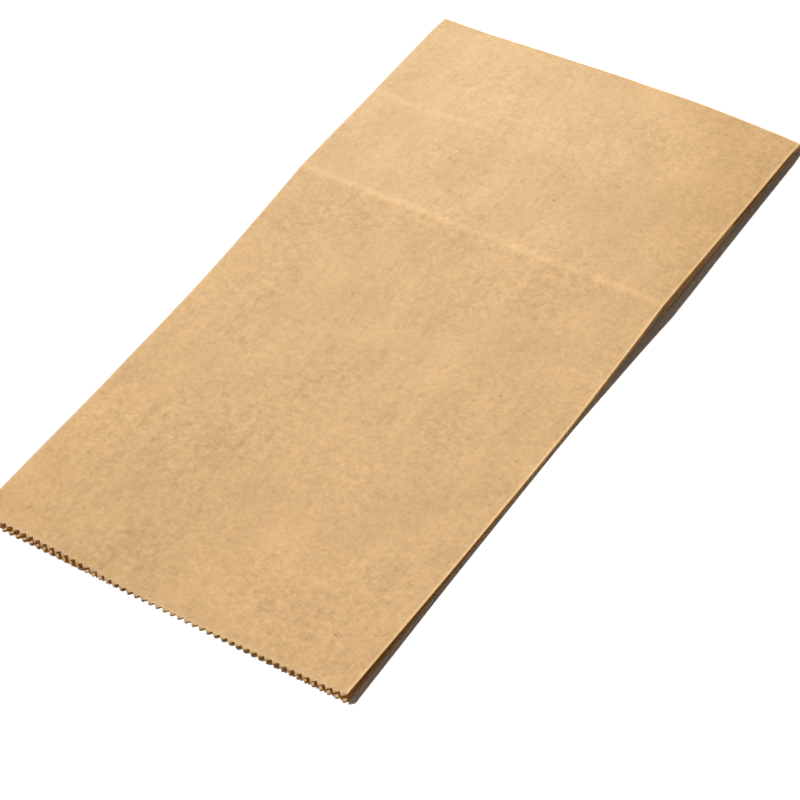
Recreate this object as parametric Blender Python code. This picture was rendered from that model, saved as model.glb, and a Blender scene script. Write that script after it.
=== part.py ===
"""A brown kraft paper lunch bag with a folded square bottom, lying flat.

The bag is one sheet of paper, glued into a tube and folded. It lies with its front panel up,
its pinked mouth at -Y and its end fold at +Y. Both side gussets are folded in between the
panels, and the square bottom is folded back underneath, where it shows as a flat plate of glued
flaps.

The folded sheet is built from a plan and a stack. The plan holds every outline, fold and tooth,
cut into triangles. The stack is the row of layers that can lie over a spot of the plan, from the
front panel down to the outer flap, with the air gaps between them. layers_at says which layers
hold paper over a spot, and thicknesses says how thick each layer of the stack is there. The
surface between paper and air is then the surface of the bag.
"""
import math

import bmesh
import bpy
from mathutils import Vector
from mathutils.geometry import delaunay_2d_cdt

# The bag, in metres: the flat bag, its gusset and its paper, the pinked cut and the glued laps
WIDTH = 0.153
LENGTH = 0.270
GUSSET = 0.090
PAPER = 0.00012
TOOTH_PITCH = 0.0030
TOOTH_DEPTH = 0.0015
FLAP_OVERLAP = 0.021
LAP_WIDTH = 0.012
LAP_PLACE = -0.0195

# How the layers lie on each other: a fold's wall, the air between pressed layers, the gap between
# a fold and the one nested in it, and how far the layers spring apart
FOLD = 0.0003
SNUG = 0.0001
NEST = 0.0003
FLAP_SPRING = 0.0009
LEFT_SPRING = 0.0034
RIGHT_SPRING = 0.0022
CREASE_SPRING = 0.0007
MIDDLE_PRESS = 0.70
NOSE_PRESS = 0.55

# How far along and across the bag these reach
MOUTH_SPRING_REACH = 0.125
LEFT_LIFT_END = 0.076
LEFT_LIFT_RUN = 0.060
MIDDLE_RUN = 0.020
SAG_REACH = 0.130
NOSE_REACH = 0.009

# The net of points that carries the gentle curves, and its distance from the lines of the plan
NET_PITCH = 0.009
NET_CLEARANCE = 0.002

KRAFT_COLOUR = (0.735, 0.479, 0.246, 1.0)
KRAFT_ROUGHNESS = 0.82

# Places worked out from the sizes
HALF_WIDTH = WIDTH / 2
HALF_GUSSET = GUSSET / 2
CREASE = LENGTH - GUSSET
TUCK = LENGTH - HALF_GUSSET
BACK_TUCK = TUCK - FOLD - NEST
FLAP_REACH = HALF_GUSSET + FLAP_OVERLAP / 2
SLANT = FOLD * math.sqrt(2)
TOOTH_COUNT = round(WIDTH / TOOTH_PITCH)
TOOTH_STEP = WIDTH / TOOTH_COUNT / 2

# The stack, top to bottom; a name that ends in air is a gap between two layers
STACK = (
    "front",
    "front air",
    "upper gusset",
    "notch air",
    "lower gusset",
    "back air",
    "back",
    "back seam",
    "tuck air",
    "turned seam",
    "turned back",
    "turned air",
    "turned gusset",
    "plate notch air",
    "plate gusset",
    "plate air",
    "plate",
    "flaps",
    "outer flap",
)
LEVEL = {name: place for place, name in enumerate(STACK)}


def ease(share):
    """A smooth step from 0 to 1 as share goes from 0 to 1."""
    share = min(max(share, 0.0), 1.0)
    return share * share * (3 - 2 * share)


def tooth(x):
    """How far the pinked cut lies back from the tips of its teeth, at x."""
    turns = (x + HALF_WIDTH) / (2 * TOOTH_STEP)
    return TOOTH_DEPTH * abs(1 - 2 * (turns % 1.0))


def layers_at(x, s):
    """The set of levels that hold paper at x across the bag and s along it from the mouth."""
    edge = HALF_WIDTH - abs(x)
    tail = LENGTH - s
    lap = s - CREASE
    if s < tooth(x):
        return set()
    upper_gusset = edge < min(HALF_GUSSET, tail)
    lower_gusset = edge < HALF_GUSSET and s < TUCK
    back = s < BACK_TUCK
    turned_back = back and lap > 0
    turned_gusset = edge < lap and s < TUCK
    plate_gusset = edge < min(tail, lap)
    seam = LAP_PLACE < x < LAP_PLACE + LAP_WIDTH
    panels = {
        "front": True,
        "upper gusset": upper_gusset,
        "lower gusset": lower_gusset,
        "back": back,
        "back seam": back and seam,
        "turned seam": turned_back and seam,
        "turned back": turned_back,
        "turned gusset": turned_gusset,
        "plate gusset": plate_gusset,
        "plate": lap > 0,
        "flaps": lap > 0 and not plate_gusset,
        "outer flap": s > LENGTH - FLAP_REACH + tooth(x) and edge > tail,
    }
    folds = (
        (edge < FOLD, "front air", "front air"),
        (edge < FOLD and back, "back air", "back air"),
        (edge < FOLD and turned_back and turned_gusset, "turned air", "turned air"),
        (edge < FOLD and plate_gusset, "plate air", "plate air"),
        (lower_gusset and edge > HALF_GUSSET - FOLD, "notch air", "notch air"),
        (upper_gusset and s > TUCK and tail - edge < SLANT, "notch air", "plate notch air"),
        (turned_gusset and lap - edge < SLANT, "plate notch air", "plate notch air"),
        (turned_gusset and s > TUCK - FOLD, "back air", "turned air"),
        (back and s > BACK_TUCK - FOLD, "back seam", "turned seam"),
        (0 < lap < FOLD, "turned air", "plate air"),
        (tail < FOLD, "front air", "plate air"),
    )
    filled = {LEVEL[name] for name, present in panels.items() if present}
    for present, first, last in folds:
        if present:
            filled.update(range(LEVEL[first], LEVEL[last] + 1))
    return filled


def mouth_spring(x, edge):
    """How far the gusset springs the mouth apart: a rounded lift at -X, a wedge at +X."""
    if x < 0:
        return LEFT_SPRING * ease((LEFT_LIFT_END - edge) / LEFT_LIFT_RUN)
    return RIGHT_SPRING * max(0.0, 1 - edge / HALF_GUSSET) ** 1.3


def thicknesses(x, s):
    """How thick each level of the stack is at x across the bag and s along it."""
    edge = HALF_WIDTH - abs(x)
    tail = LENGTH - s
    wedge = max(0.0, 1 - edge / HALF_GUSSET)
    levels = [SNUG if name.endswith("air") else PAPER for name in STACK]

    # The layers under the back panel spring apart at the crease, and end there
    flap_spring = FLAP_SPRING * min(1.0, tail / GUSSET)
    levels[LEVEL["tuck air"]] += 0.6 * flap_spring
    levels[LEVEL["plate notch air"]] += 0.4 * flap_spring
    sag = max(0.0, 1 - max(0.0, CREASE - s) / SAG_REACH) ** 2
    for level in range(LEVEL["tuck air"], len(STACK)):
        levels[level] *= sag

    # The middle is pressed thin where no gusset lies in it
    pressed = 1 - MIDDLE_PRESS * ease((edge - HALF_GUSSET) / MIDDLE_RUN)
    for level in range(LEVEL["front air"], LEVEL["back"]):
        levels[level] *= pressed

    # The gussets spring open at the mouth and over the crease
    mouth = mouth_spring(x, edge) * max(0.0, 1 - s / MOUTH_SPRING_REACH) ** 1.5
    over_crease = CREASE_SPRING * ease(wedge) * ease(1 - abs(s - CREASE) / GUSSET)
    notch_share = 0.3 + 0.7 * wedge
    levels[LEVEL["notch air"]] += notch_share * mouth + over_crease
    levels[LEVEL["front air"]] += (1 - notch_share) / 2 * mouth
    levels[LEVEL["back air"]] += (1 - notch_share) / 2 * mouth

    # The space inside narrows into the end fold
    nose = 1 - NOSE_PRESS * (1 - ease(tail / NOSE_REACH))
    for level in range(LEVEL["notch air"], LEVEL["plate gusset"]):
        levels[level] *= nose
    return levels


def heights(x, s):
    """The height of each face of the stack above the floor, top face first."""
    levels = thicknesses(x, s)
    faces = [0.0]
    for level in reversed(levels):
        faces.append(faces[-1] + level)
    return faces[::-1]


def mirrored(line):
    """The line and its mirror image about the middle of the bag."""
    return [line, [(-x, s) for x, s in line]]


def pinked_line(tips, half_length):
    """A zigzag cut with its tips at this s, as far as half_length either side of the middle."""
    return [
        (-HALF_WIDTH + step * TOOTH_STEP, tips + tooth(-HALF_WIDTH + step * TOOTH_STEP))
        for step in range(2 * TOOTH_COUNT + 1)
        if abs(-HALF_WIDTH + step * TOOTH_STEP) < half_length
    ]


def plan_lines():
    """Every outline and fold line of the plan, as lists of (x, s) points."""
    apex_edge = HALF_WIDTH - HALF_GUSSET
    cut = FLAP_REACH - TOOTH_DEPTH
    lines = [
        pinked_line(0.0, WIDTH),
        pinked_line(LENGTH - FLAP_REACH, HALF_WIDTH - cut),
    ]
    for s in (CREASE, CREASE + FOLD, BACK_TUCK - FOLD, BACK_TUCK, TUCK - FOLD, TUCK):
        lines.append([(-HALF_WIDTH, s), (HALF_WIDTH, s)])
    for s in (LENGTH - FOLD, LENGTH):
        lines.append([(-HALF_WIDTH, s), (HALF_WIDTH, s)])
    for x in (LAP_PLACE, LAP_PLACE + LAP_WIDTH):
        lines.append([(x, tooth(x)), (x, BACK_TUCK)])
    for edge in (0.0, FOLD):
        x = HALF_WIDTH - edge
        lines += mirrored([(x, tooth(x)), (x, LENGTH)])
    for x in (apex_edge, apex_edge + FOLD):
        lines += mirrored([(x, tooth(x)), (x, TUCK)])
    lines += mirrored([(HALF_WIDTH, LENGTH), (HALF_WIDTH - FLAP_REACH, LENGTH - FLAP_REACH)])
    lines += mirrored([(HALF_WIDTH, CREASE), (apex_edge, TUCK)])
    lines += mirrored([(HALF_WIDTH, LENGTH - SLANT), (apex_edge + SLANT, TUCK)])
    lines += mirrored([(HALF_WIDTH, CREASE + SLANT), (apex_edge + SLANT, TUCK)])
    return lines


def distance_to(line, x, s):
    """The distance from a point of the plan to a line of it."""
    point = Vector((x, s))
    nearest = math.inf
    for start, end in zip(line, line[1:]):
        start = Vector(start)
        run = Vector(end) - start
        share = min(max((point - start).dot(run) / run.length_squared, 0.0), 1.0)
        nearest = min(nearest, (point - start - share * run).length)
    return nearest


def net_points(lines):
    """Evenly spaced points of the plan that lie clear of its lines."""
    across = round(WIDTH / NET_PITCH)
    along = round(LENGTH / NET_PITCH)
    points = []
    for row in range(1, 2 * along):
        for column in range(1, across):
            x = -HALF_WIDTH + column * WIDTH / across
            s = row * LENGTH / along / 2
            if row % 2 and s < LENGTH - 1.5 * NOSE_REACH:
                continue
            if all(distance_to(line, x, s) > NET_CLEARANCE for line in lines):
                points.append((x, s))
    return points


def cut_plan():
    """The points of the plan and its triangles, which no outline or fold crosses."""
    lines = plan_lines()
    points = []
    segments = []
    for line in lines:
        for step in range(1, len(line)):
            start = len(points) + step - 1
            segments.append((start, start + 1))
        points += line
    points += net_points(lines)
    points = [Vector(point) for point in points]
    corners, _, triangles, *_ = delaunay_2d_cdt(points, segments, [], 0, 1e-7)
    return corners, [tuple(triangle) for triangle in triangles]


def spot_inside(corners, triangle):
    """The middle of a triangle of the plan."""
    x = sum(corners[corner].x for corner in triangle) / 3
    s = sum(corners[corner].y for corner in triangle) / 3
    return x, s


def folded_sheet():
    """A mesh of the whole folded bag: each face lies between paper and air."""
    corners, triangles = cut_plan()
    filled = [layers_at(*spot_inside(corners, triangle)) for triangle in triangles]
    owners = {}
    for place, triangle in enumerate(triangles):
        for start, end in zip(triangle, triangle[1:] + triangle[:1]):
            owners[start, end] = place

    mesh = bmesh.new()
    column_heights = [heights(corner.x, corner.y) for corner in corners]
    made = {}

    def vertex(corner, face):
        if (corner, face) not in made:
            place = (corners[corner].x, corners[corner].y - LENGTH / 2, column_heights[corner][face])
            made[corner, face] = mesh.verts.new(place)
        return made[corner, face]

    for place, triangle in enumerate(triangles):
        paper = filled[place]
        for level in paper:
            if level - 1 not in paper:
                mesh.faces.new([vertex(corner, level) for corner in triangle])
            if level + 1 not in paper:
                mesh.faces.new([vertex(corner, level + 1) for corner in reversed(triangle)])
        for start, end in zip(triangle, triangle[1:] + triangle[:1]):
            beside = owners.get((end, start))
            blocked = set() if beside is None else filled[beside]
            for level in paper - blocked:
                mesh.faces.new((
                    vertex(start, level),
                    vertex(start, level + 1),
                    vertex(end, level + 1),
                    vertex(end, level),
                ))
    return mesh


def kraft_paper():
    """Plain brown kraft paper, matt."""
    material = bpy.data.materials.new("kraft_paper")
    material.use_nodes = True
    surface = material.node_tree.nodes["Principled BSDF"]
    surface.inputs["Base Color"].default_value = KRAFT_COLOUR
    surface.inputs["Roughness"].default_value = KRAFT_ROUGHNESS
    surface.inputs["Metallic"].default_value = 0.0
    material.diffuse_color = KRAFT_COLOUR
    return material


def main():
    for item in list(bpy.data.objects):
        bpy.data.objects.remove(item)
    mesh = folded_sheet()
    data = bpy.data.meshes.new("paper_bag")
    mesh.to_mesh(data)
    mesh.free()
    data.materials.append(kraft_paper())
    bag = bpy.data.objects.new("paper_bag", data)
    bpy.context.scene.collection.objects.link(bag)


main()
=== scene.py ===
"""The looks of a brown kraft paper lunch bag that lies flat, built around its CAD frame.

The bag is modelled as what it is: one sheet of paper, glued into a tube and folded. The blank is
a grid of points. Along runs round the tube, from the outer edge of the glued lap, over the back,
the left gusset, the front, the right gusset and the back again. Up runs from the cut edge of the
bottom flaps to the pinked mouth. A fold map puts each point of the blank where it lies in the
folded bag, and a stack of levels gives its height. Everything is in metres.
"""

import math

import bpy
import numpy as np
from mathutils import Matrix, Vector


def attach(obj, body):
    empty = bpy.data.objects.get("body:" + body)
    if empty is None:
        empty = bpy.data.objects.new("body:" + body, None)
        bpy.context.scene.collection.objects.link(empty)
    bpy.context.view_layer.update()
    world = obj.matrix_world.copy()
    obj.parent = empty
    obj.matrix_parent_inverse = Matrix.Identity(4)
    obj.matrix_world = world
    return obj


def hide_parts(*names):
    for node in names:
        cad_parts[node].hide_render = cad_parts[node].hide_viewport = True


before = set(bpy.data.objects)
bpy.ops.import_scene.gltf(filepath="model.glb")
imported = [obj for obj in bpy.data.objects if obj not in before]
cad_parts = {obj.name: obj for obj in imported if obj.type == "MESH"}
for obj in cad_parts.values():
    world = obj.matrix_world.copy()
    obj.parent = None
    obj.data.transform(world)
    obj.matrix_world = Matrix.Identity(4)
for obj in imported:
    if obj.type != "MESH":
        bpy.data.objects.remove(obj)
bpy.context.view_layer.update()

# The flat bag and its blank
WIDTH = 0.153
LENGTH = 0.270
GUSSET = 0.090
TOOTH_PITCH = 0.0030
TOOTH_DEPTH = 0.0015
FLAP_OVERLAP = 0.021
LAP_WIDTH = 0.012
LAP_PLACE = -0.0195
SHOWN_PAPER = 0.00009

# How the layers lie on each other: the room a layer of paper takes, the room of a lap or a flap
# that has no air beside it, and the air between pressed layers
PAPER = 0.00012
LOOSE_PAPER = 0.00016
SNUG = 0.0001

# How the middle and the end fold are pressed thinner than the rest
MIDDLE_PRESS = 0.70
MIDDLE_RUN = 0.020
NOSE_PRESS = 0.55
NOSE_REACH = 0.009

# How the folded bottom springs apart at the crease, and sags before it; the tuck takes its share
# of the spring, and the notch between the bottom's gussets takes the rest
FLAP_SPRING = 0.0009
TUCK_SHARE = 0.6
SAG_REACH = 0.130
SAG_SHAPE = 3.5

# How the gussets spring open at the mouth, on the left and on the right, and over the crease;
# the notch takes its share of the spring in the middle, and all of it at the side folds
LEFT_SPRING = 0.0034
LEFT_LIFT_END = 0.076
LEFT_LIFT_RUN = 0.060
RIGHT_SPRING = 0.0027
RIGHT_LIFT_REACH = 0.062
RIGHT_LIFT_SHAPE = 1.3
MOUTH_SPRING_REACH = 0.125
MOUTH_SPRING_SHAPE = 1.5
NOTCH_SHARE = 0.3
CREASE_SPRING = 0.0007
CREASE_SPRING_REACH = 0.060

# How high the stiff closed end arches between its corners, and from where along the bag
ARCH = 0.0026
ARCH_START = 0.150
ARCH_RUN = 0.080

# The crease of the folded bottom shows through the front as a low ridge and a pale line, the line
# partly a painted highlight along the ridge, and the tuck as a fainter line
PRINTED_CREASE = GUSSET - 0.0013
RIDGE = 0.00007
RIDGE_REACH = 0.004
LINE_REACH = 0.0025

# The slow waves of pressed paper, each with its heading, length, start and size, and the height
# of a layer above the floor from which it has all of them
COCKLE_WAVES = (
    (0.21, 0.083, 0.4, 0.00010),
    (1.05, 0.061, 2.1, 0.00007),
    (1.92, 0.047, 4.4, 0.00006),
    (2.61, 0.034, 1.3, 0.00004),
    (0.72, 0.026, 5.2, 0.00003),
)
COCKLE_HEIGHT = 0.002

# How round the folds are; the tuck widens from the side fold inward, where layers lie inside it
SIDE_ROUND = 0.0001
END_ROUND = 0.0003
NEST_ROUND = 0.0007
NEST_RUN = 0.004
LAP_ROUND = 0.0003
RIDGE_END_ROUND = 0.001

# How close the grid's marks lie: even ones, and closer ones beside a fold, beside the printed
# crease and before the mouth
HALF_TOOTH = TOOTH_PITCH / 2
OVER_TUCK_PITCH = 0.0045
BODY_PITCH = 0.0064
BODY_END_GAP = 0.0075
FOLD_GAPS = (0.00015, 0.00045)
PRINTED_GAPS = (0.0, 0.0012, 0.0024, 0.0040)
MOUTH_GAPS = (0.0048, 0.0030, 0.0021)

# Places worked out from the sizes
HALF_WIDTH = WIDTH / 2
HALF_GUSSET = GUSSET / 2
CREASE = LENGTH - GUSSET
FLAP_REACH = HALF_GUSSET + FLAP_OVERLAP / 2
BACK_LEFT_FOLD = LAP_PLACE + LAP_WIDTH + HALF_WIDTH
FRONT_LEFT_FOLD = BACK_LEFT_FOLD + GUSSET
FRONT_MIDDLE = FRONT_LEFT_FOLD + HALF_WIDTH
FRONT_RIGHT_FOLD = FRONT_LEFT_FOLD + WIDTH
BACK_RIGHT_FOLD = FRONT_RIGHT_FOLD + GUSSET
BLANK_WIDTH = BACK_RIGHT_FOLD + HALF_WIDTH - LAP_PLACE

# The stack, top to bottom; a name that ends in air is a gap between two layers
STACK = (
    "front",
    "front air",
    "upper gusset",
    "notch air",
    "lower gusset",
    "back air",
    "back",
    "back seam",
    "tuck air",
    "turned seam",
    "turned back",
    "turned air",
    "turned gusset",
    "plate notch air",
    "plate gusset",
    "plate air",
    "side flap",
    "inner web",
    "inner flap",
    "flap seam",
    "outer web",
    "outer flap",
)
LEVEL = {name: place for place, name in enumerate(STACK)}

# The paper's plain colour, and the tint that each step of shade adds: where the pulp is darker it
# is also browner. No spot is lighter than the palest shade
PAPER_COLOUR = (0.738, 0.442, 0.188)
PAPER_TINT = (0.690, 0.486, 0.260)
PALEST = 0.36

# The range in which nearly all of a noise pattern lies
NOISE_LOW = 0.3
NOISE_HIGH = 0.7

# The floor: its reach, its own white, and the white that the camera sees
FLOOR_REACH = 6.0
FLOOR_WHITE = 0.90
FLOOR_SEEN = 1.34

# The light: strengths, and where each lamp stands
WORLD_STRENGTH = 0.05
WINDOW_STRENGTH = 2.80
WINDOW_ANGLE = 6
WINDOW_SIDE = (-0.62, -0.12, 0.95)
LAMP_POWER = 2.65
LAMP_SIZE = 0.30
LAMP_COLOUR = (0.78, 0.90, 1.0)
LAMP_PLACE = (-0.42, 0.48, 0.40)
LAMP_AIM = (0.0, 0.10, 0.0)

# The camera of the photograph's view: lens and sensor in millimetres, and angles in degrees
LENS = 135.0
SENSOR = 36
VIEW_HEIGHT = 47.35
VIEW_TURN = -43.80
VIEW_ROLL = -14.00
VIEW_DISTANCE = 0.9893
VIEW_END = 50
AIM = (0.0204, -0.0282, 0.003)


def ease(share):
    """A smooth step from 0 to 1 as share goes from 0 to 1."""
    share = np.clip(share, 0.0, 1.0)
    return share * share * (3 - 2 * share)


def side_of(distance, roundness=SIDE_ROUND):
    """A soft step across a fold: 0 well before it, a half on it, 1 well past it."""
    return 0.5 + 0.5 * distance / np.hypot(distance, roundness)


def tooth(place):
    """How far the pinked cut lies back from the tips of its teeth, at a place across."""
    turns = place / TOOTH_PITCH
    return TOOTH_DEPTH * np.abs(1 - 2 * (turns % 1.0))


def room_of(name):
    """The room that a level of the stack takes before anything springs, sags or is pressed."""
    if name.endswith("air"):
        return SNUG
    if name.endswith("seam") or LEVEL[name] >= LEVEL["side flap"]:
        return LOOSE_PAPER
    return PAPER


def mouth_spring(x, s, edge):
    """How far the gussets spring open towards the mouth.

    On the left it rises by a smooth step from the middle outwards, on the right by a power of
    the nearness to the side fold, and both die away along the bag.
    """
    left = LEFT_SPRING * ease((LEFT_LIFT_END - edge) / LEFT_LIFT_RUN)
    right = RIGHT_SPRING * np.clip(1 - edge / RIGHT_LIFT_REACH, 0, 1) ** RIGHT_LIFT_SHAPE
    reach = np.clip(1 - s / MOUTH_SPRING_REACH, 0, None) ** MOUTH_SPRING_SHAPE
    return np.where(x < 0, left, right) * reach


def level_thicknesses(x, s):
    """How thick each level of the stack is, x across the bag and s along it from the mouth."""
    edge = HALF_WIDTH - np.abs(x)
    tail = LENGTH - s
    wedge = np.clip(1 - edge / HALF_GUSSET, 0, 1)
    levels = np.empty((len(STACK),) + x.shape)
    for name, place in LEVEL.items():
        levels[place] = room_of(name)

    # The layers under the back spring apart at the crease, and sag out before it
    flap_spring = FLAP_SPRING * np.clip(tail / GUSSET, 0, 1)
    levels[LEVEL["tuck air"]] += TUCK_SHARE * flap_spring
    levels[LEVEL["plate notch air"]] += (1 - TUCK_SHARE) * flap_spring
    sag = np.clip(1 - np.maximum(0, CREASE - s) / SAG_REACH, 0, 1) ** SAG_SHAPE
    levels[LEVEL["tuck air"]:] *= sag

    # The middle is pressed thin where no gusset lies in it
    pressed = 1 - MIDDLE_PRESS * ease((edge - HALF_GUSSET) / MIDDLE_RUN)
    levels[LEVEL["front air"]:LEVEL["back"]] *= pressed

    # The gussets spring open at the mouth and over the crease
    mouth = mouth_spring(x, s, edge)
    near_crease = ease(1 - np.abs(s - CREASE) / CREASE_SPRING_REACH)
    over_crease = CREASE_SPRING * ease(wedge) * near_crease
    notch_share = NOTCH_SHARE + (1 - NOTCH_SHARE) * wedge
    levels[LEVEL["notch air"]] += notch_share * mouth + over_crease
    levels[LEVEL["front air"]] += (1 - notch_share) / 2 * mouth
    levels[LEVEL["back air"]] += (1 - notch_share) / 2 * mouth

    # The space inside narrows into the end fold
    nose = 1 - NOSE_PRESS * (1 - ease(tail / NOSE_REACH))
    levels[LEVEL["notch air"]:LEVEL["plate gusset"]] *= nose
    return levels


def level_heights(x, s):
    """The height of the middle of each level above the floor."""
    levels = level_thicknesses(x, s)
    under = np.cumsum(levels[::-1], axis=0)[::-1] - levels
    return under + levels / 2


def marks_with_folds(marks, folds, gaps):
    """Marks along a blank's side, with closer ones on both sides of each fold."""
    near = [fold + turn * gap for fold in folds for gap in gaps for turn in (-1, 1)]
    return np.unique(np.round(np.concatenate([marks, near]), 7))


def even_marks(start, stop, pitch):
    """Marks from start to stop, both ends in, about one pitch apart."""
    return np.linspace(start, stop, round((stop - start) / pitch) + 1)


def marks_along():
    """The grid's marks round the tube: half a tooth apart, and closer at the folds."""
    folds = (
        LAP_WIDTH,
        BACK_LEFT_FOLD,
        BACK_LEFT_FOLD + HALF_GUSSET,
        FRONT_LEFT_FOLD,
        FRONT_RIGHT_FOLD,
        FRONT_RIGHT_FOLD + HALF_GUSSET,
        BACK_RIGHT_FOLD,
    )
    return marks_with_folds(even_marks(0, BLANK_WIDTH, HALF_TOOTH), folds, FOLD_GAPS)


def marks_up():
    """The grid's marks from the cut of the flaps to the mouth.

    They are half a tooth apart where folds run slantwise, wider elsewhere, and closer at the
    folds. The first and the last mark are the two cuts, and the others keep clear of their teeth.
    """
    slanted = even_marks(-FLAP_REACH, HALF_GUSSET, HALF_TOOTH)[2:]
    over_tuck = even_marks(HALF_GUSSET, GUSSET, OVER_TUCK_PITCH)
    body = even_marks(GUSSET, LENGTH - BODY_END_GAP, BODY_PITCH)
    mouth = [LENGTH - gap for gap in MOUTH_GAPS]
    marks = np.concatenate([slanted, over_tuck, body, mouth])
    marks = marks_with_folds(marks, (0.0, HALF_GUSSET), FOLD_GAPS)
    marks = marks_with_folds(marks, (PRINTED_CREASE,), PRINTED_GAPS)
    return np.concatenate([[-FLAP_REACH], marks, [LENGTH]])


def across_panels(along):
    """How far a point lies in from the front's side fold, past it, and past the gusset.

    All three come from its distance to the front's middle line, so they hold on both sides.
    """
    out = np.abs(along - FRONT_MIDDLE)
    return HALF_WIDTH - out, out - HALF_WIDTH, out - HALF_WIDTH - GUSSET


def nest_round(across_back):
    """How round the tuck is: as sharp as a side fold at the side, and wider inward."""
    return SIDE_ROUND + (NEST_ROUND - SIDE_ROUND) * ease(across_back / NEST_RUN)


def past_crease_of(up, across_back):
    """How far a point that hangs from the back or the lower gusset lies past the crease."""
    past = HALF_GUSSET - np.hypot(up - HALF_GUSSET, nest_round(across_back))
    past = np.where(up < HALF_GUSSET, np.hypot(past, END_ROUND), past)
    return np.where(up < 0, np.hypot(up, END_ROUND), past)


def gusset_plan(across_gusset, up, past_crease):
    """The distances in from the side fold and from the closed end, for the gussets.

    A gusset comes back out past its middle. Between its slanting folds and below the bottom
    line, its two directions are exchanged.
    """
    tent = HALF_GUSSET - np.hypot(across_gusset - HALF_GUSSET, SIDE_ROUND)
    near_front = across_gusset < HALF_GUSSET
    turned = (up < across_gusset) & (up < GUSSET - across_gusset)
    exchanged_tail = np.where(
        near_front,
        np.hypot(across_gusset, END_ROUND),
        GUSSET - np.hypot(GUSSET - across_gusset, END_ROUND),
    )
    straight_tail = np.where(near_front, np.hypot(up, END_ROUND), GUSSET - past_crease)
    inward = np.where(turned, np.hypot(up, SIDE_ROUND), np.hypot(tent, SIDE_ROUND))
    return inward, np.where(turned, exchanged_tail, straight_tail)


def fold_plan(along, up):
    """Where each point of the blank lies in the plan of the folded bag.

    Around the tube, the distance from the front's middle line tells front, gusset and back
    apart. In from the side fold, a point lies as far as it does in the blank. From the mouth, it
    lies as far as it does in the blank down to the end fold on the front, or down to the tuck on
    the back, where the paper turns back to the crease. The webs of the flaps turn in along
    slanting folds, with their two directions exchanged. Each distance from a fold is rounded by
    a small radius.
    """
    across_front, across_gusset, across_back = across_panels(along)
    turn = np.where(along < FRONT_MIDDLE, -1.0, 1.0)
    depth = np.abs(up)
    front = across_front >= 0
    back = across_back >= 0
    gusset = ~front & ~back
    past_crease = past_crease_of(up, across_back)
    gusset_inward, gusset_tail = gusset_plan(across_gusset, up, past_crease)

    # The front with its outer flap, and the back with its inner flap
    front_web = front & (up < 0) & (across_front < depth)
    front_inward = np.where(front_web, depth, across_front)
    front_tail = np.where(front_web, across_front, up)
    back_web = back & (up < 0) & (across_back < depth)
    back_inward = np.where(back_web, depth, across_back)
    back_tail = GUSSET - np.where(back_web, np.hypot(across_back, END_ROUND), past_crease)

    inward = np.select(
        [front, gusset],
        [np.hypot(front_inward, SIDE_ROUND), gusset_inward],
        np.hypot(back_inward, SIDE_ROUND),
    )
    tail = np.select([front, gusset], [np.hypot(front_tail, END_ROUND), gusset_tail], back_tail)
    return turn * (HALF_WIDTH - inward), LENGTH - tail


def level_shares(along, up):
    """How much each level of the stack holds each point: all of it, but near folds some.

    A panel's share is the product of soft steps at the folds that bound it, so that a fold
    line itself lies halfway between the levels of its two panels.
    """
    across_front, across_gusset, across_back = across_panels(along)
    on_front = side_of(across_front)
    on_back = side_of(across_back)
    on_gusset = side_of(across_gusset) * side_of(-across_back)
    on_lap = side_of(LAP_WIDTH - along, LAP_ROUND)
    above = side_of(up, END_ROUND)
    below = 1 - above
    before_tuck = side_of(up - HALF_GUSSET, nest_round(across_back))
    past_tuck = 1 - before_tuck
    to_middle = side_of(HALF_GUSSET - across_gusset)
    past_middle = 1 - to_middle
    near_slant = side_of(up - across_gusset)
    far_slant = side_of(up - GUSSET + across_gusset)
    under_slants = side_of(across_gusset - up) * side_of(GUSSET - across_gusset - up)

    held = {
        "front": on_front * above,
        "outer flap": on_front * below * side_of(across_front + up),
        "outer web": on_front * below * side_of(-up - across_front),
        "upper gusset": on_gusset * above * near_slant * to_middle,
        "plate gusset": on_gusset * above * under_slants,
        "turned gusset": on_gusset * above * far_slant * past_middle * past_tuck,
        "lower gusset": on_gusset * past_middle * before_tuck,
        "side flap": on_gusset * below,
        "back": on_back * above * before_tuck * (1 - on_lap),
        "back seam": on_back * above * before_tuck * on_lap,
        "turned back": on_back * above * past_tuck * (1 - on_lap),
        "turned seam": on_back * above * past_tuck * on_lap,
        "inner web": on_back * below * side_of(-up - across_back),
        "inner flap": on_back * below * side_of(across_back + up) * (1 - on_lap),
        "flap seam": on_back * below * on_lap,
    }
    shares = np.zeros((len(STACK),) + along.shape)
    for name, share in held.items():
        shares[LEVEL[name]] = share
    return shares / shares.sum(axis=0)


def end_arch(x, s):
    """How far the closed end lifts: a cubic arch from corner to corner, highest at two thirds.

    The cubic is 27 quarters of the share squared, times one less the share, so its top is 1.
    """
    share = (x + HALF_WIDTH) / WIDTH
    to_one = 27 / 4
    return ARCH * to_one * share ** 2 * (1 - share) * ease((s - ARCH_START) / ARCH_RUN)


def printed_ridge(along, up):
    """The low ridge across the front, a smooth bump on both sides of the printed crease."""
    on_front = side_of(across_panels(along)[0], RIDGE_END_ROUND)
    return RIDGE * on_front * ease(1 - np.abs(up - PRINTED_CREASE) / RIDGE_REACH)


def cockle(x, y):
    """The slow unevenness of folded and pressed paper: the sum of the waves, up and down."""
    height = np.zeros_like(x)
    for heading, length, start, size in COCKLE_WAVES:
        run = x * math.cos(heading) + y * math.sin(heading)
        height += size * np.sin(run * math.tau / length + start)
    return height


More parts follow.
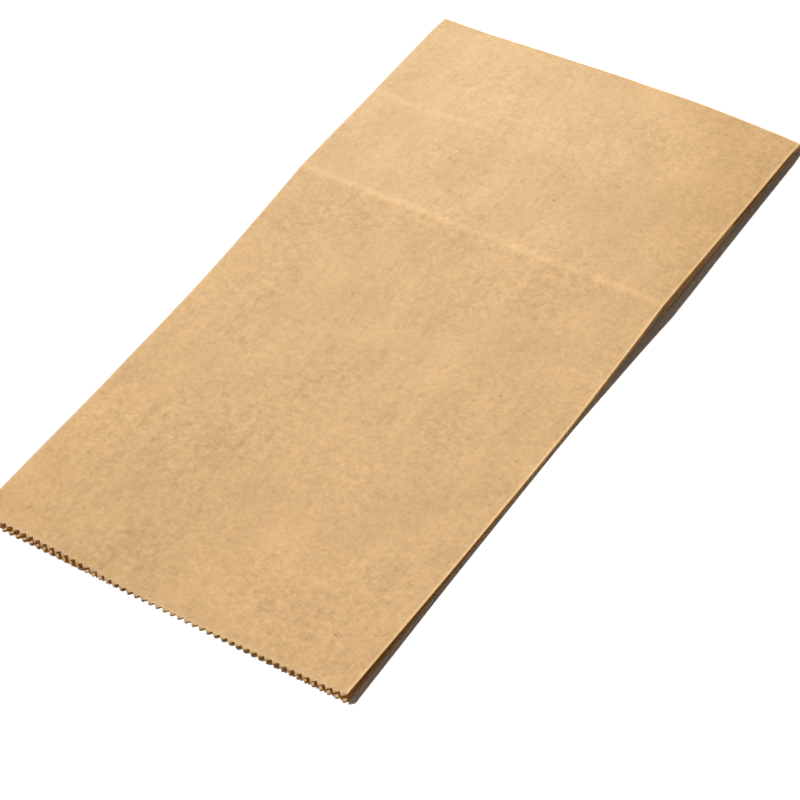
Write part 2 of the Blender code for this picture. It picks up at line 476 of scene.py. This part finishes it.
def fold_distance(along, up):
    """The distance on the blank from each point to the nearest of the folds that stick out."""
    across_front, _, across_back = across_panels(along)
    folds = np.minimum(np.abs(across_front), np.abs(across_back))
    folds = np.minimum(folds, np.where(across_back > 0, np.abs(up - HALF_GUSSET), 1.0))
    folds = np.minimum(folds, np.abs(up))
    slanting = np.where(across_front > 0, np.abs(across_front + up), np.abs(across_back + up))
    on_flap = (up < 0) & (across_front * across_back < 0)
    return np.minimum(folds, np.where(on_flap, slanting, 1.0))


def split_faces(along, up):
    """Two triangles for each cell of the grid, cut along the slanting folds where one runs."""
    columns = len(along)
    rows = len(up)
    corner = np.arange(rows * columns).reshape(rows, columns)
    low_left = corner[:-1, :-1]
    low_right = corner[:-1, 1:]
    high_left = corner[1:, :-1]
    high_right = corner[1:, 1:]
    middle_along = (along[:-1] + along[1:])[None, :] / 2
    middle_up = (up[:-1] + up[1:])[:, None] / 2
    across_front, across_gusset, across_back = across_panels(middle_along)
    on_gusset = (across_gusset > 0) & (across_back < 0)
    leans_out = np.where(on_gusset, across_gusset < HALF_GUSSET, across_front > 0)
    leans_out = np.where(middle_up < 0, across_front > 0, leans_out)
    rising = leans_out == (middle_along >= FRONT_MIDDLE)
    first = np.where(rising, high_right, high_left)
    second = np.where(rising, low_left, low_right)
    lower = np.stack([low_left, first, low_right], axis=-1)
    upper = np.stack([second, high_left, high_right], axis=-1)
    return np.concatenate([lower.reshape(-1, 3), upper.reshape(-1, 3)])


def folded_sheet():
    """The bag's sheet: a grid over the blank, folded flat.

    Across and along come from the fold map, and the height is the mean of the levels' heights
    there, weighted by the levels' shares. Cockle is added in proportion to the height above the
    floor, then the arch of the closed end and the ridge of the printed crease.
    """
    along_marks = marks_along()
    up_marks = marks_up()
    along, up = np.meshgrid(along_marks, up_marks)
    cut = tooth(along - FRONT_LEFT_FOLD)
    up[-1] -= cut[-1]
    up[0] += cut[0]

    x, s = fold_plan(along, up)
    z = (level_shares(along, up) * level_heights(x, s)).sum(axis=0)
    y = s - LENGTH / 2
    raised = np.clip(z / COCKLE_HEIGHT, 0, 1)
    z += raised * cockle(x, y) + end_arch(x, s) + printed_ridge(along, up)

    mesh = bpy.data.meshes.new("bag_sheet")
    faces = split_faces(along_marks, up_marks)
    mesh.from_pydata(np.stack([x, y, z], axis=-1).reshape(-1, 3), [], faces)
    blank = mesh.uv_layers.new(name="blank")
    corners = np.empty(len(mesh.loops), np.int32)
    mesh.loops.foreach_get("vertex_index", corners)
    places = np.stack([along, up], axis=-1).reshape(-1, 2)
    blank.uv.foreach_set("vector", places[corners].ravel())
    add_field(mesh, "fold_distance", fold_distance(along, up))
    add_field(mesh, "mouth_distance", LENGTH - cut - up)
    mesh.polygons.foreach_set("use_smooth", np.ones(len(faces), bool))
    mesh.update()
    return mesh


def add_field(mesh, name, values):
    """Stores one number for each point of the mesh, for its material to read."""
    field = mesh.attributes.new(name, "FLOAT", "POINT")
    field.data.foreach_set("value", values.ravel().astype(np.float32))


class Nodes:
    """A short way to add nodes to a tree and link them."""

    def __init__(self, tree):
        self.tree = tree

    def add(self, kind, settings=None, **inputs):
        """Adds a node. Each input is a number, a colour or another node's output."""
        node = self.tree.nodes.new(kind)
        for name, value in (settings or {}).items():
            setattr(node, name, value)
        for name, value in inputs.items():
            self.feed(node, name.replace("_", " "), value)
        return node

    def feed(self, node, name, value):
        """Sets one input of a node, or links another node's output to it."""
        place = node.inputs[name]
        if isinstance(value, bpy.types.NodeSocket):
            self.tree.links.new(value, place)
        else:
            place.default_value = value

    def math(self, operation, *values):
        """The result of a Math node on these values."""
        node = self.tree.nodes.new("ShaderNodeMath")
        node.operation = operation
        for place, value in enumerate(values):
            self.feed(node, place, value)
        return node.outputs[0]

    def total(self, *values):
        """The sum of all these values."""
        total = values[0]
        for value in values[1:]:
            total = self.math("ADD", total, value)
        return total

    def remap(self, value, low, high, to_low, to_high, steps="LINEAR"):
        """The value carried from low..high to to_low..to_high, and held at the ends."""
        node = self.tree.nodes.new("ShaderNodeMapRange")
        node.interpolation_type = steps
        for name, number in (
            ("Value", value),
            ("From Min", low),
            ("From Max", high),
            ("To Min", to_low),
            ("To Max", to_high),
        ):
            self.feed(node, name, number)
        return node.outputs["Result"]

    def spread(self, pattern, low, high):
        """A noise pattern carried to low..high."""
        return self.remap(pattern, NOISE_LOW, NOISE_HIGH, low, high)

    def noise(self, place, scale, detail, roughness=0.5, stretch=(1, 1, 1), turn=0):
        """Noise over a place, stretched and turned by degrees, as one number around a half."""
        mapping = self.add("ShaderNodeMapping", Vector=place, Scale=stretch)
        mapping.inputs["Rotation"].default_value = (0, 0, math.radians(turn))
        node = self.add(
            "ShaderNodeTexNoise",
            Vector=mapping.outputs["Vector"],
            Scale=scale,
            Detail=detail,
            Roughness=roughness,
        )
        return node.outputs["Fac"]

    def tinted(self, colour, tint, shade):
        """A colour with a tint added to it, as strong as the shade."""
        scaled = self.add("ShaderNodeVectorMath", {"operation": "SCALE"}, Scale=shade)
        self.feed(scaled, 0, tint)
        summed = self.add("ShaderNodeVectorMath", {"operation": "ADD"})
        self.feed(summed, 0, scaled.outputs["Vector"])
        self.feed(summed, 1, colour)
        return summed.outputs["Vector"]


def cloudy_pulp(nodes, place, clouds, mottle, grain):
    """The pulp: broad clouds, mottle that is stronger in patches, flock, grain and streaks.

    The mottle is a few millimetres across, and the streaks run slantwise.
    """
    patches = nodes.remap(nodes.noise(place, 26, 1), 0.35, 0.65, 0.50, 1.30)
    flock = nodes.noise(place, 620, 3, 0.6)
    streaks = nodes.noise(place, 150, 3, 0.6, (1, 0.35, 1), 28)
    return nodes.total(
        nodes.spread(clouds, -0.045, 0.040),
        nodes.math("MULTIPLY", nodes.spread(mottle, -0.105, 0.090), patches),
        nodes.spread(flock, -0.060, 0.050),
        nodes.spread(grain, -0.045, 0.045),
        nodes.spread(streaks, -0.055, 0.045),
    )


def blots_and_fibres(nodes, place):
    """Small dark blots where the pulp is thin, and short fibres, pale and dark.

    Each of them is where a stretched noise comes near its peaks.
    """
    blots = nodes.noise(place, 400, 2, 0.5, (1, 0.7, 1), 40)
    lying = nodes.noise(place, 420, 2, 0.5, (1, 0.22, 1), -35)
    crossing = nodes.noise(place, 420, 2, 0.5, (0.22, 1, 1), -20)
    return nodes.total(
        nodes.remap(blots, 0.59, 0.71, 0, -0.10),
        nodes.remap(lying, 0.66, 0.74, 0, 0.05),
        nodes.remap(crossing, 0.67, 0.75, 0, -0.08),
    )


def dark_specks(nodes, place):
    """A few dark specks: one round spot in some of the cells of a cell pattern."""
    cells = nodes.add("ShaderNodeTexVoronoi", Vector=place, Scale=95.0)
    chosen = nodes.add("ShaderNodeSeparateXYZ", Vector=cells.outputs["Color"])
    spot = nodes.remap(cells.outputs["Distance"], 0.030, 0.075, -0.32, 0.0, "SMOOTHSTEP")
    rare = nodes.math("GREATER_THAN", chosen.outputs["X"], 0.90)
    return nodes.math("MULTIPLY", spot, rare)


def pale_line(nodes, height, fold, strength):
    """A soft pale line on both sides of a fold across the blank."""
    off = nodes.math("ABSOLUTE", nodes.math("SUBTRACT", height, fold))
    return nodes.remap(off, 0.0, LINE_REACH, strength, 0.0, "SMOOTHSTEP")


def crease_highlight_and_tuck_lines(nodes, place, height, run, clouds):
    """Pale lines at the crease and the tuck, as they show through the front and end at its side
    folds; the crease's line is partly a painted highlight along its ridge.

    Both wander a little. The crease is broken in places, and the tuck shows only on the left.
    """
    wander = nodes.spread(nodes.noise(place, 40, 1), -0.0007, 0.0007)
    height = nodes.math("ADD", height, wander)
    on_front = nodes.math("LESS_THAN", nodes.math("ABSOLUTE", run), HALF_WIDTH)
    unbroken = nodes.remap(clouds, 0.38, 0.54, 0.65, 1.0)
    # Painted highlight: the pale line along the crease's ridge, partly also paler pressed paper
    crease_line_and_highlight = nodes.math("MULTIPLY", pale_line(nodes, height, PRINTED_CREASE, 0.125), unbroken)
    on_left = nodes.remap(run, -0.05, 0.01, 1.0, 0.0)
    tuck = nodes.math("MULTIPLY", pale_line(nodes, height, HALF_GUSSET, 0.085), on_left)
    return nodes.math("MULTIPLY", nodes.total(crease_line_and_highlight, tuck), on_front)


def worn_and_highlit_edges(nodes, run):
    """The folds paler, partly real wear and partly a painted highlight that is palest on the
    right folds, and a paler rim along the pinked cut.
    """
    fold = nodes.add("ShaderNodeAttribute", {"attribute_name": "fold_distance"})
    # Painted highlight: the folds are paler, partly from wear, and much paler on the right than
    # on the left
    worn_and_highlight = nodes.remap(fold.outputs["Fac"], 0.0005, 0.0014, 0.36, 0.0, "SMOOTHSTEP")
    worn_and_highlight = nodes.math("MULTIPLY", worn_and_highlight, nodes.remap(run, -0.02, 0.02, 0.31, 1.0))
    mouth = nodes.add("ShaderNodeAttribute", {"attribute_name": "mouth_distance"})
    # A paler rim along the pinked cut, within about a millimetre of it
    pale_cut_rim = nodes.remap(mouth.outputs["Fac"], 0.0, 0.0012, 0.16, 0.0)
    return nodes.math("MAXIMUM", worn_and_highlight, pale_cut_rim)


def kraft_paper():
    """Brown kraft paper: cloudy pulp, short fibres, a few specks, and pale lines at the crease
    and pale folds, partly wear and partly painted highlight.

    Every pattern lies on the blank, so it turns with the paper at each fold. The patterns add up
    to one shade, below 0 where the paper is darker than its plain colour.
    """
    material = bpy.data.materials.new("kraft_paper")
    material.use_nodes = True
    tree = material.node_tree
    surface = tree.nodes["Principled BSDF"]
    nodes = Nodes(tree)
    place = nodes.add("ShaderNodeUVMap", {"uv_map": "blank"}).outputs["UV"]
    spot = nodes.add("ShaderNodeSeparateXYZ", Vector=place)
    run = nodes.math("SUBTRACT", spot.outputs["X"], FRONT_MIDDLE)
    clouds = nodes.noise(place, 45, 3)
    mottle = nodes.noise(place, 310, 4, 0.62)
    grain = nodes.noise(place, 1500, 2, 0.6)
    shade = nodes.total(
        cloudy_pulp(nodes, place, clouds, mottle, grain),
        blots_and_fibres(nodes, place),
        dark_specks(nodes, place),
        crease_highlight_and_tuck_lines(nodes, place, spot.outputs["Y"], run, clouds),
        worn_and_highlit_edges(nodes, run),
    )
    shade = nodes.math("MINIMUM", shade, PALEST)
    colour = nodes.tinted(PAPER_COLOUR, PAPER_TINT, shade)
    tree.links.new(colour, surface.inputs["Base Color"])
    tree.links.new(nodes.spread(mottle, 0.47, 0.57), surface.inputs["Roughness"])
    surface.inputs["Specular IOR Level"].default_value = 0.30

    # The felt of fibres makes the surface a little rough to the light
    felt = nodes.math("ADD", nodes.math("MULTIPLY", grain, 0.5), mottle)
    bump = nodes.add("ShaderNodeBump", Strength=0.35, Distance=0.00012, Height=felt)
    tree.links.new(bump.outputs["Normal"], surface.inputs["Normal"])
    return material


def white_floor():
    """A matt white floor that the camera sees as plain white wherever no shadow lies.

    Its colour is brighter where a camera ray meets it, and so its shadows keep their depth.
    """
    material = bpy.data.materials.new("white_floor")
    material.use_nodes = True
    surface = material.node_tree.nodes["Principled BSDF"]
    surface.inputs["Roughness"].default_value = 1.0
    surface.inputs["Specular IOR Level"].default_value = 0.0
    nodes = Nodes(material.node_tree)
    path = nodes.add("ShaderNodeLightPath")
    seen = nodes.remap(path.outputs["Is Camera Ray"], 0, 1, FLOOR_WHITE, FLOOR_SEEN)
    white = nodes.add("ShaderNodeCombineColor", Red=seen, Green=seen, Blue=seen)
    material.node_tree.links.new(white.outputs["Color"], surface.inputs["Base Color"])
    return material


def floor_plane():
    """A wide square floor whose top is at height 0."""
    mesh = bpy.data.meshes.new("floor")
    corners = [
        (-FLOOR_REACH, -FLOOR_REACH, 0),
        (FLOOR_REACH, -FLOOR_REACH, 0),
        (FLOOR_REACH, FLOOR_REACH, 0),
        (-FLOOR_REACH, FLOOR_REACH, 0),
    ]
    mesh.from_pydata(corners, [], [(0, 1, 2, 3)])
    floor = bpy.data.objects.new("floor", mesh)
    floor.data.materials.append(white_floor())
    bpy.context.scene.collection.objects.link(floor)


def even_world():
    """A faint light from all sides."""
    world = bpy.data.worlds.new("studio")
    world.use_nodes = True
    background = world.node_tree.nodes["Background"]
    background.inputs["Color"].default_value = (1, 1, 1, 1)
    background.inputs["Strength"].default_value = WORLD_STRENGTH
    bpy.context.scene.world = world


def window_light():
    """The main light, high on the left."""
    data = bpy.data.lights.new("window", "SUN")
    data.energy = WINDOW_STRENGTH
    data.angle = math.radians(WINDOW_ANGLE)
    window = bpy.data.objects.new("window", data)
    window.rotation_euler = Vector(WINDOW_SIDE).to_track_quat("Z", "Y").to_euler()
    bpy.context.scene.collection.objects.link(window)


def side_lamp():
    """A square soft lamp beyond the far left corner, which lights the closed end most."""
    data = bpy.data.lights.new("side_lamp", "AREA")
    data.size = LAMP_SIZE
    data.energy = LAMP_POWER
    data.color = LAMP_COLOUR
    lamp = bpy.data.objects.new("side_lamp", data)
    lamp.location = LAMP_PLACE
    turn = (Vector(LAMP_AIM) - Vector(LAMP_PLACE)).to_track_quat("-Z", "Y")
    lamp.rotation_euler = turn.to_euler()
    bpy.context.scene.collection.objects.link(lamp)


def photo_camera():
    """A camera at the photograph's viewing angle, rolled as the photograph is."""
    height = math.radians(VIEW_HEIGHT)
    turn = math.radians(VIEW_TURN)
    roll = math.radians(VIEW_ROLL)
    away = Vector((
        math.cos(height) * math.cos(turn),
        math.cos(height) * math.sin(turn),
        math.sin(height),
    ))
    right = (-away).cross(Vector((0, 0, 1))).normalized()
    above = away.cross(right)
    side = right * math.cos(roll) + above * math.sin(roll)
    top = above * math.cos(roll) - right * math.sin(roll)
    data = bpy.data.cameras.new("photo_camera")
    data.lens = LENS
    data.sensor_width = SENSOR
    data.clip_end = VIEW_END
    camera = bpy.data.objects.new("photo_camera", data)
    place = Vector(AIM) + away * VIEW_DISTANCE
    axes = Matrix((side, top, away)).transposed().to_4x4()
    camera.matrix_world = Matrix.Translation(place) @ axes
    bpy.context.scene.collection.objects.link(camera)
    bpy.context.scene.camera = camera


def paper_bag():
    """The folded sheet with its thickness and its paper."""
    bag = bpy.data.objects.new("folded_bag", folded_sheet())
    bpy.context.scene.collection.objects.link(bag)
    bag.data.materials.append(kraft_paper())
    wall = bag.modifiers.new("paper", "SOLIDIFY")
    wall.thickness = SHOWN_PAPER
    wall.offset = 0.0
    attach(bag, "root")
    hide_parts("paper_bag")


photo_camera()
bpy.context.scene.view_settings.view_transform = "Standard"
paper_bag()
floor_plane()
even_world()
window_light()
side_lamp()
